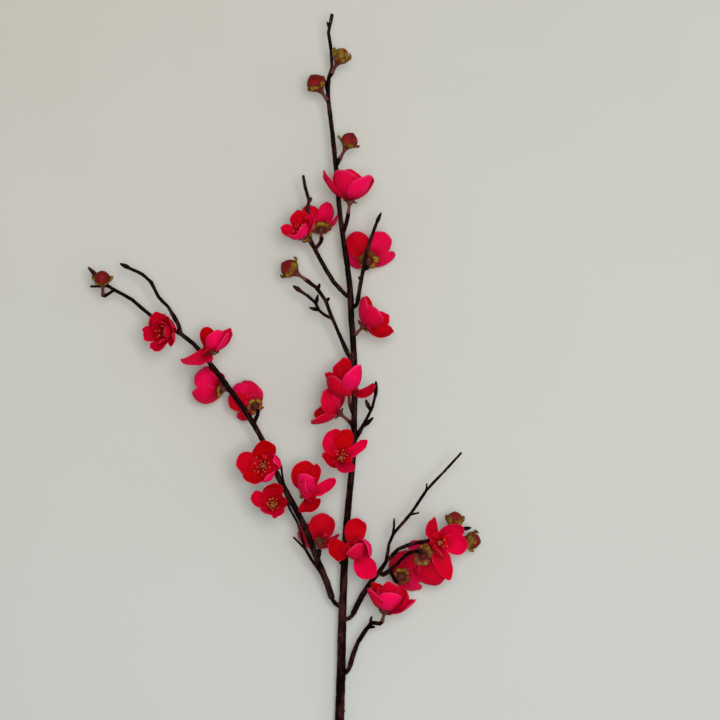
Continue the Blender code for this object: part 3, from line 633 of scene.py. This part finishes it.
FILAMENT = thread("Stamen thread", low=linear(150, 10, 26), high=linear(214, 60, 70), rough=0.5)
ANTHER = thread("Anther", low=linear(190, 130, 40), high=linear(226, 176, 76), rough=0.6)
HEART = thread("Blossom heart", low=linear(120, 6, 20), high=linear(150, 90, 30), rough=0.6)

# -------------- petals
# All lengths in this part are in millimetres, in the blossom's own frame.

ACROSS, ALONG = 23, 18           # columns and rows of a petal
EYE, INNER_EYE = (1.0, 0.75), (1.0, 1.5)      # radius and height where petals start: the five, the others
CUP_START, CUP_REACH = (1.0, 0.6), 6.6        # the small cup of whole cloth at the eye
CUP_STEP = 9                     # degrees between its columns
SHEET_START = 0.9                # where a petal's or sepal's fan of rows begins, before its length
HALF_FAN = 50                    # degrees from the middle line to a side
SHOULDER = 0.36                  # how much shorter a petal is at its sides
RIM_WAVES = ((3.6, 0, 0.5), (7.5, 3, 0.3), (13, 6, 0.16))   # across, along, height
SNUGGEST = 6.0                   # the smallest radius that a petal wraps around
LARGEST_SWING = 2.4              # radians that its sides may roll in
OWN_CURVE = (0.004, 0.035)       # how much its left and right side curve on their own
PETAL_SHEET = 0.28
TABLE_GAP = 0.5 * MM             # a petal that reaches the table is pressed flat on it, in metres


def midline(base, fold, tip):
    """A petal's middle line: its length, and a function from a length to (radius, height, lean)."""
    first, second = np.subtract(fold, base), np.subtract(tip, fold)
    lean_a, lean_b = math.atan2(*first), math.atan2(*second)
    length = np.hypot(*first) + np.hypot(*second)
    s = np.linspace(0, length * 1.25, 90)
    lean = lean_a + (lean_a - lean_b) * (0.5 - 2 * s / length)
    r, z = swept(base, (lean[1:] + lean[:-1]) / 2, s[1] - s[0])
    return length, lambda q: (np.interp(q, s, r), np.interp(q, s, z), np.interp(q, s, lean))


def petal_points(base, fold, tip, rng, breadth, roll, point, bend, ruffle):
    """The inside face of one petal, with the petal along +x. Rows run from foot to tip."""
    length, at = midline(base, fold, tip)
    u = np.linspace(-1, 1, ACROSS)[None, :]
    v = np.linspace(0, 1, ALONG)[:, None]
    phase = rng.uniform(0, 2 * math.pi, 6)

    # its outline: rounded and slightly wavy, with a tip that is drawn out and a small notch
    edge = length * (1 - SHOULDER * np.abs(u) ** rng.uniform(2.3, 3.0))
    edge = edge * (1 + 0.012 * np.sin(5.0 * u + phase[0]) + 0.008 * np.sin(11 * u + phase[1]) * (1 - u * u))
    edge = edge + length * (0.02 + 0.1 * point) * hump(u, 0.16 + 0.1 * point)
    edge = edge - length * 0.02 * rng.uniform(0, 1) * hump(u, 0.07)
    spread = 0.87 + 0.19 * np.sin(math.pi * v ** 0.85)
    phi = u * math.radians(HALF_FAN * breadth) * spread * (1 - 0.35 * point * smooth((v - 0.5) / 0.5))
    rho = SHEET_START + v * (edge - SHEET_START)
    x, s = rho * np.sin(phi), rho * np.cos(phi)
    radius, height, lean = at(s)
    share = s / length

    # its sides wrap around the axis and roll in
    around = np.maximum(np.cos(lean), 0.0) / np.maximum(radius, SNUGGEST)
    own = np.where(x > 0, OWN_CURVE[1] + roll[1], OWN_CURVE[0] + roll[0]) * smooth(share / 0.5)
    curve = np.maximum(around + own, 1e-4)
    swing = np.clip(x * curve, -LARGEST_SWING, LARGEST_SWING)
    sideways = np.sin(swing) / curve
    inward = (1 - np.cos(swing)) / curve

    # it lies over its neighbour on one side; then rim waves, folds at the foot, a crease and a bent tip
    inward = inward + x / 10 * smooth(share / 0.35)
    rim = np.maximum(smooth((np.abs(u) - 0.55) / 0.45), smooth((v - 0.6) / 0.4)) * smooth(share / 0.4)
    waves = sum(tall * np.sin(across * u + along * v + phase[2 + i])
                for i, (across, along, tall) in enumerate(RIM_WAVES))
    inward = inward + ruffle * rim * waves * 0.8
    inward = inward + 0.1 * np.cos(phi * 16) * hump(rho - 4.5, 3)
    crease = smooth((share - 0.1) / 0.2) * (1 - smooth((share - 0.6) / 0.4))
    inward = inward - 0.22 * hump(x, 0.9) * crease
    inward = inward - bend * smooth((share - 0.62) / 0.38) ** 1.5
    return np.stack([radius - np.cos(lean) * inward, sideways, height + np.sin(lean) * inward], axis=-1)


def around_axis(points, angle):
    a = math.radians(angle)
    turn = np.array([[math.cos(a), math.sin(a), 0], [-math.sin(a), math.cos(a), 0], [0, 0, 1]])
    return points @ turn


def leaned(profile, base, by, size, curl=0.0):
    """A petal's fold and tip, leaned out by some degrees, curled in at the tip, and scaled."""
    made, start, extra = [], base, by
    for p, before in zip(profile, (base, profile[0])):
        d = np.subtract(p, before)
        reach, lean = np.hypot(*d) * size, math.atan2(*d) + math.radians(extra)
        start = (start[0] + reach * math.sin(lean), start[1] + reach * math.cos(lean))
        made.append(start)
        extra -= curl
    return made


def add_petal(build, place, base, profile, angle, look, own, rng):
    """One petal of a blossom, from what its blossom and the petal itself ask for."""
    fold, tip = leaned(profile, base, rng.uniform(-2.5, 2.5) + own.get("lean", 0.0),
                       rng.uniform(1.04, 1.1) * look.get("size", 0.96) * own.get("size", 1.0),
                       look.get("curl", 0.0) + own.get("curl", 0.0))
    points = petal_points(base, fold, tip, rng,
                          breadth=look.get("breadth", 0.95) * rng.uniform(0.94, 1.04) * own.get("breadth", 1.0),
                          roll=own.get("roll", (0.0, rng.uniform(0, 0.03))),
                          point=own.get("point", rng.uniform(0, 0.25)),
                          bend=rng.uniform(-0.4, 0.8),
                          ruffle=look.get("ruffle", 1.0))
    points = around_axis(points, angle + rng.uniform(-3, 3) + own.get("turn", 0.0))
    # A petal's tone is partly its dye and partly painted light and shade: high for a lit petal, low for a
    # shaded one.
    tone = own.get("tone", rng.uniform(0.1, 0.9)) * (0.55 if look.get("deep") else 1.0)
    points = place.out(points)
    points[..., 2] = np.maximum(points[..., 2], TABLE_GAP)
    build.grid(points, tone=tone, flip=True)


def neighbours(angle):
    """The petals on either side of an angle, and how far it is from the first to the second, from 0 to 1."""
    share = angle / STEP % PETALS
    low = int(share)
    return low, (low + 1) % PETALS, share - low


def corolla_foot(profiles, look):
    """The small cup at the eye where the petals are still one piece of cloth."""
    columns = []
    for angle in np.arange(0, 360, CUP_STEP):
        low, high, share = neighbours(angle)
        part = float(smooth(share))
        between = np.array(profiles[low]) * (1 - part) + np.array(profiles[high]) * part
        lean = look.get(low, {}).get("lean", 0) * (1 - part) + look.get(high, {}).get("lean", 0) * part
        _, at = midline(CUP_START, *leaned(between, CUP_START, lean, 1.0))
        r, z, _ = at(np.linspace(0, CUP_REACH, 8))
        columns.append(around_axis(np.stack([r, 0 * r, z], axis=-1), angle))
    return np.array(columns).transpose(1, 0, 2)


def make_petals(number, place, profiles, look, rng):
    build = Build()
    for k in range(PETALS):
        add_petal(build, place, EYE, profiles[k], k * STEP, look, look.get(k, {}), rng)
    inner = [{"at": (k + 0.5) * STEP + rng.uniform(-9, 9), "lean": -rng.uniform(10, 26),
              "size": rng.uniform(0.7, 0.86), "breadth": 0.9, "roll": (0.03, 0.05),
              "point": rng.uniform(0, 0.6), "tone": rng.uniform(0, 0.7)} for k in range(look.get("inner", 0))]
    for own in inner + look.get("extra", []):
        low, high, share = neighbours(own["at"])
        between = np.array(profiles[low]) * (1 - share) + np.array(profiles[high]) * share
        add_petal(build, place, INNER_EYE, between, own["at"], look, own, rng)
    build.grid(place.out(corolla_foot(profiles, look)), tone=0.1, wrap=True, flip=True)
    piece = build.object(f"blossom_{number:02d}_petals", [PETAL_INSIDE_PAINTED_SHADE, PETAL_OUTSIDE_PAINTED_SHEEN])
    cloth = thicken(piece, "cloth", PETAL_SHEET)
    # The thickened back face is the outside, with its pinker painted sheen.
    cloth.material_offset = 1
    cloth.material_offset_rim = 0
    finished(piece, "petal", f"blossom_{number:02d}_corolla")


# -------------- stalk, sepals and stamens

# Outlines as (radius, height) in millimetres.
BLOSSOM_STALK = ((1.32, -8.5), (1.42, -8.1), (1.3, -7.4), (1.08, -6.4), (1.02, -5.0), (1.05, -3.9), (1.2, -3.1),
                 (1.6, -2.4), (2.0, -1.8), (2.22, -1.2), (2.25, -0.6), (2.0, 0.1), (1.5, 0.6), (0.9, 0.85))
HEART_DOME = ((1.25, 0.6), (1.7, 1.0), (1.75, 1.3), (1.3, 1.75), (0.6, 2.0))
STALK_SIDES, STALK_RIBS, RIB_DEPTH = 20, 5, 0.03

OPENING_FROM = (1.3, 0.7)        # where a petal's opening is measured from, out to its tip
FULL_SIZE = 20.7                 # from there to the tip in a full-sized blossom
SEPAL_ROOT = (1.7, -1.0)
SEPAL_LENGTH, SEPAL_FAN, SEPAL_CUP, SEPAL_SHEET = 6.0, 60, 0.055, 0.45

THREAD_TURN = 137.5              # degrees from one stamen to the next
THREAD_POINTS, THREAD_SIDES = 6, 5
THREAD_RADII = (0.16, 0.11)      # at the foot and at the tip
THREAD_FOOT = 1.6                # the height at which the threads leave the heart
GRAIN_ALONG = (-0.42, -0.28, 0.0, 0.28, 0.42)
GRAIN_RADII = (0.08, 0.2, 0.25, 0.2, 0.08)
GRAIN_SIDES = 6


def sepal_points(rng, lean_foot, lean_tip, length, width):
    """One rounded sepal along +x: a spoon that leaves the receptacle and hugs the petals."""
    u = np.linspace(-1, 1, 11)[None, :]
    v = np.linspace(0, 1, 10)[:, None]
    edge = length * (1 - 0.3 * np.abs(u) ** 2.4) * (1 + 0.02 * np.sin(6 * u + rng.uniform(0, 6)))
    phi = u * math.radians(SEPAL_FAN) * width * (0.92 + 0.1 * np.sin(math.pi * v))
    rho = SHEET_START + v * (edge - SHEET_START)
    x, s = rho * np.sin(phi), rho * np.cos(phi)
    q = np.linspace(0, length * 1.2, 40)
    lean = np.radians(lean_foot + (lean_tip - lean_foot) * smooth(q / length))
    r, z = swept(SEPAL_ROOT, lean[1:], q[1] - q[0])
    radius, height, lean = np.interp(s, q, r), np.interp(s, q, z), np.interp(s, q, lean)
    inward = x * x * SEPAL_CUP + 0.08 * np.sin(9 * u + rng.uniform(0, 6)) * v
    return np.stack([radius - np.cos(lean) * inward, x, height + np.sin(lean) * inward], axis=-1)


def make_sepals(number, place, profiles, look, rng):
    """The stalk, receptacle and five sepals of one blossom as one piece."""
    size = np.hypot(*np.subtract(profiles[0][1], OPENING_FROM)) / FULL_SIZE
    build = Build()
    build.turned(place, BLOSSOM_STALK, STALK_SIDES, 1, STALK_RIBS, RIB_DEPTH)
    openings = [math.degrees(math.atan2(*np.subtract(tip, OPENING_FROM))) for fold, tip in profiles]
    for k in range(PETALS):
        lean = min(116, (openings[k] + openings[(k + 1) % PETALS]) / 2 + 24)
        points = sepal_points(rng, min(lean + 12, 118), lean - 8 + rng.uniform(-4, 10),
                              SEPAL_LENGTH * size * look.get("sepals", 0.85) * rng.uniform(0.82, 1.1),
                              rng.uniform(0.85, 1.1))
        points = around_axis(points, (k + 0.5) * STEP + rng.uniform(-8, 8))
        build.grid(place.out(points), tone=rng.uniform(0, 1), flip=True)
    piece = build.object(f"blossom_{number:02d}_sepals", [SEPAL, STALK])
    thicken(piece, "skin", SEPAL_SHEET)
    finished(piece, "calyx", f"blossom_{number:02d}_calyx")


def make_stamens(number, place, look, rng):
    """The heart of one blossom with its threads, each with a grain across its tip."""
    build = Build()
    build.turned(place, HEART_DOME, 16, 2)
    count = look.get("stamens", 22)
    for i in range(count):
        angle = i * THREAD_TURN + rng.uniform(-8, 8)
        share = (i + 0.5) / count
        foot = 0.25 + 1.2 * math.sqrt(share)
        splay = math.radians(6 + 30 * share + rng.uniform(-5, 5))
        length = rng.uniform(5.0, 7.6) * look.get("threads", 1.0)
        curl = math.radians(rng.uniform(-16, 22))
        lean = splay + curl * (np.linspace(0, 1, THREAD_POINTS) - 0.2)
        r, z = swept((foot, THREAD_FOOT), lean[1:], length / (THREAD_POINTS - 1))
        path = around_axis(np.stack([r, 0 * r, z], axis=-1), angle)
        radii = np.linspace(*THREAD_RADII, THREAD_POINTS) * MM
        build.tube(place.out(path), radii, THREAD_SIDES, tone=rng.uniform(0, 1), mat=0)
        way = unit(path[-1] - path[-2])
        side = unit(np.cross(way, [rng.uniform(-1, 1), rng.uniform(-1, 1), 0.3]))
        grain = [path[-1] + side * t for t in GRAIN_ALONG]
        build.tube(place.out(grain), np.array(GRAIN_RADII) * MM, GRAIN_SIDES, tone=rng.uniform(0, 1), mat=1)
    piece = build.object(f"blossom_{number:02d}_stamens", [FILAMENT, ANTHER, HEART])
    finished(piece, "calyx", f"blossom_{number:02d}_calyx")


# -------------- buds

# The outline of a closed bud of radius 1, as heights and the radii there.
BALL = ((0.0, 0.1, 0.3, 0.6, 0.9, 1.2, 1.5, 1.72, 1.86, 1.92),
        (0.35, 0.55, 0.8, 0.96, 1.0, 0.93, 0.72, 0.46, 0.22, 0.05))
BUD_STALK = ((1.32, -8.5), (1.42, -8.1), (1.3, -7.4), (1.1, -6.4), (1.05, -5.0), (1.15, -3.6), (1.4, -2.4),
             (1.9, -1.4), (2.2, -0.6), (2.3, 0.1), (2.0, 0.5), (1.2, 0.8))
BUD_SHEET, BUD_SEPAL_SHEET = 0.3, 0.4


def ball_radius(z):
    return np.interp(z, *BALL)


def make_bud_petals(number, place, size, look, rng):
    """Five petals that overlap and twist into a closed ball."""
    build = Build()
    u = np.linspace(-1, 1, 17)[None, :]
    v = np.linspace(0, 1, 18)[:, None]
    for k in range(PETALS):
        z = 0.05 + v * (1.89 - 0.01 * k) * (1 - 0.03 * np.abs(u) ** 3)
        angle = np.radians(k * STEP + 60 * u * (1 - 0.1 * v) + 18 * v * v)
        lift = -0.055 * u + 0.05 * hump(np.abs(u) - 0.9, 0.2) * (1 - v)
        wavy = 1 + lift + 0.012 * np.sin(9 * u + 4 * v + k)
        r = (ball_radius(z) * wavy - 0.02 - 0.03 * smooth((v - 0.85) / 0.15)) * size
        points = np.stack([r * np.cos(angle), r * np.sin(angle), z * size + 0 * u], axis=-1)
        build.grid(place.out(points), tone=look["green"] * rng.uniform(0.8, 1.1))
    piece = build.object(f"bud_{number}_petals", [BUD_CLOTH])
    thicken(piece, "cloth", BUD_SHEET)
    finished(piece, "bud", f"bud_{number}")


def make_bud_sepals(number, place, size, look, rng):
    """The stalk of a bud and its five sepals, some of which stand off the ball."""
    build = Build()
    build.turned(place, BUD_STALK, STALK_SIDES, 1, STALK_RIBS, RIB_DEPTH)
    u = np.linspace(-1, 1, 13)[None, :]
    v = np.linspace(0, 1, 13)[:, None]
    for k in range(PETALS):
        tall = look["cover"] * rng.uniform(0.85, 1.15)
        peel = look["peel"] * (rng.uniform(0.6, 1.3) if k % 2 else rng.uniform(0.0, 0.35))
        z = -0.12 + v * (tall + 0.12) * (1 - 0.28 * np.abs(u) ** 2.5)
        angle = np.radians((k + 0.5) * STEP + 42 * np.sin(v * 2.45 + 0.6) * u)
        off = 0.1 + peel * smooth((v - 0.55) / 0.45) ** 1.5 * 0.7
        off = off - 0.03 * u + 0.03 * np.sin(7 * u + 5 * v + k) * v
        r = (ball_radius(np.maximum(z, 0)) + off) * size
        points = np.stack([r * np.cos(angle), r * np.sin(angle), z * size + 0 * u], axis=-1)
        build.grid(place.out(points), tone=rng.uniform(0, 1))
    piece = build.object(f"bud_{number}_sepals", [SEPAL, STALK])
    thicken(piece, "skin", BUD_SEPAL_SHEET)
    finished(piece, "calyx", f"bud_{number}")


# -------------- stems

# How finely each stem is made round, and the size and height of its relief, all in millimetres.
STEMS = {"main_stem": 0.36, "left_branch": 0.3, "right_branch": 0.28, "left_tip_twig": 0.22,
         "right_curved_twig": 0.22, "right_short_twig": 0.22, "low_twig": 0.24, "upper_left_twig": 0.22,
         "upper_right_twig": 0.2, "middle_left_twig": 0.22, "middle_right_twig": 0.2}
RELIEF = (("lumps", 7.0, 0.5), ("grain", 1.4, 0.16))
FULLER = 0.34                    # how much the bark adds all round


def make_stem(node, voxel):
    """The CAD stem made round and given the lumps and grain of moulded bark."""
    piece = bpy.data.objects.new(node + "_bark", bpy.data.objects[node].data.copy())
    piece.data.materials.clear()
    piece.data.materials.append(BARK)
    bpy.context.scene.collection.objects.link(piece)
    remesh = piece.modifiers.new("skin", "REMESH")
    remesh.mode = "VOXEL"
    remesh.voxel_size = voxel * MM
    remesh.use_smooth_shade = True
    even = piece.modifiers.new("even", "SMOOTH")
    even.factor = 0.5
    even.iterations = 6
    full = piece.modifiers.new("full", "DISPLACE")
    full.mid_level = 0.0
    full.strength = FULLER * MM
    for label, size, strength in RELIEF:
        texture = bpy.data.textures.new(f"{node} {label}", "CLOUDS")
        texture.noise_scale = size * MM
        texture.noise_depth = 2
        relief = piece.modifiers.new(label, "DISPLACE")
        relief.texture = texture
        relief.texture_coords = "LOCAL"
        relief.mid_level = 0.45
        relief.strength = strength * MM
    finished(piece, "bark", node)


# -------------- everything in place

PETAL_SEED, CALYX_SEED, BUD_SEED = 100, 400, 700

for number, look in BLOSSOMS.items():
    place, profiles = blossom_place(number)
    make_petals(number, place, profiles, look, np.random.default_rng(PETAL_SEED + number))
    rng = np.random.default_rng(CALYX_SEED + number)
    make_sepals(number, place, profiles, look, rng)
    make_stamens(number, place, look, rng)
for number, look in BUDS.items():
    place, size = bud_place(number)
    rng = np.random.default_rng(BUD_SEED + number)
    make_bud_petals(number, place, size, look, rng)
    make_bud_sepals(number, place, size, look, rng)
for node, voxel in STEMS.items():
    make_stem(node, voxel)

# -------------- floor, light and camera
# All lengths in this part are in metres.

FLOOR_HALF, FLOOR_CELLS = 4.0, 8
MIDDLE = (0.0503, 0.0348)        # what the camera looks down on
AIM = (*MIDDLE, 0.02)            # what the lights point at
CAMERA_HEIGHT = 1.522
LENS, SENSOR = 112.5, 36.0       # in millimetres
DAYLIGHT, WARM = (0.98, 0.99, 1.0), (1.0, 0.96, 0.9)


def floor_paint_with_painted_light():
    """Matt pale paint, with very soft changes of tone, and painted light: cooler towards +x, lighter and cooler
    towards -y.
    """
    material, n, shader = new_material("Floor paint with painted light")
    place = n.place()
    split = n.add("ShaderNodeSeparateXYZ", {"Vector": place})
    blotch = n.mottle(place, 6.0, 0.7)
    body = n.mix(blotch, linear(192, 188, 178), linear(198, 195, 187))
    # Painted light, as if lit from +x and -y: the paint turns cooler towards +x and lighter and cooler towards
    # -y.
    body = n.mix(n.times(n.between(split.outputs["X"], -0.2, 0.3), 0.6), body, linear(195, 196, 187))
    body = n.mix(n.between(split.outputs["Y"], -0.35, 0.35), linear(198, 200, 195), body)
    surface(n, shader, body, 0.9, 0.15)
    bump(n, shader, n.mottle(place, 260.0, 0.6), 0.12, 0.4)
    return material


def make_floor():
    side = np.linspace(-FLOOR_HALF, FLOOR_HALF, FLOOR_CELLS + 1)
    build = Build()
    build.grid(np.array([[(x, y, 0.0) for x in side] for y in side]))
    floor = build.object("floor", [floor_paint_with_painted_light()])


def soft_light(name, place, size, power, colour):
    data = bpy.data.lights.new(name, "AREA")
    data.shape = "SQUARE"
    data.size = size
    data.energy = power
    data.color = colour
    light = bpy.data.objects.new(name, data)
    light.location = place
    light.rotation_euler = (Vector(AIM) - Vector(place)).to_track_quat("-Z", "Y").to_euler()
    bpy.context.scene.collection.objects.link(light)


make_floor()
soft_light("key", (1.05, -0.1, 1.35), 2.4, 10.0, DAYLIGHT)
soft_light("overhead", (0.2, 0.12, 1.8), 0.7, 22.0, DAYLIGHT)
soft_light("fill", (-0.9, 0.7, 1.6), 2.4, 3.0, WARM)

world = bpy.data.worlds.new("Room")
bpy.context.scene.world = world
world.use_nodes = True
room = world.node_tree.nodes["Background"]
room.inputs["Color"].default_value = linear(236, 236, 230)
room.inputs["Strength"].default_value = 0.29

camera = bpy.data.objects.new("camera", bpy.data.cameras.new("camera"))
camera.data.lens = LENS
camera.data.sensor_width = SENSOR
camera.location = (*MIDDLE, CAMERA_HEIGHT)
bpy.context.scene.collection.objects.link(camera)
bpy.context.scene.camera = camera
bpy.context.scene.view_settings.view_transform = "Standard"
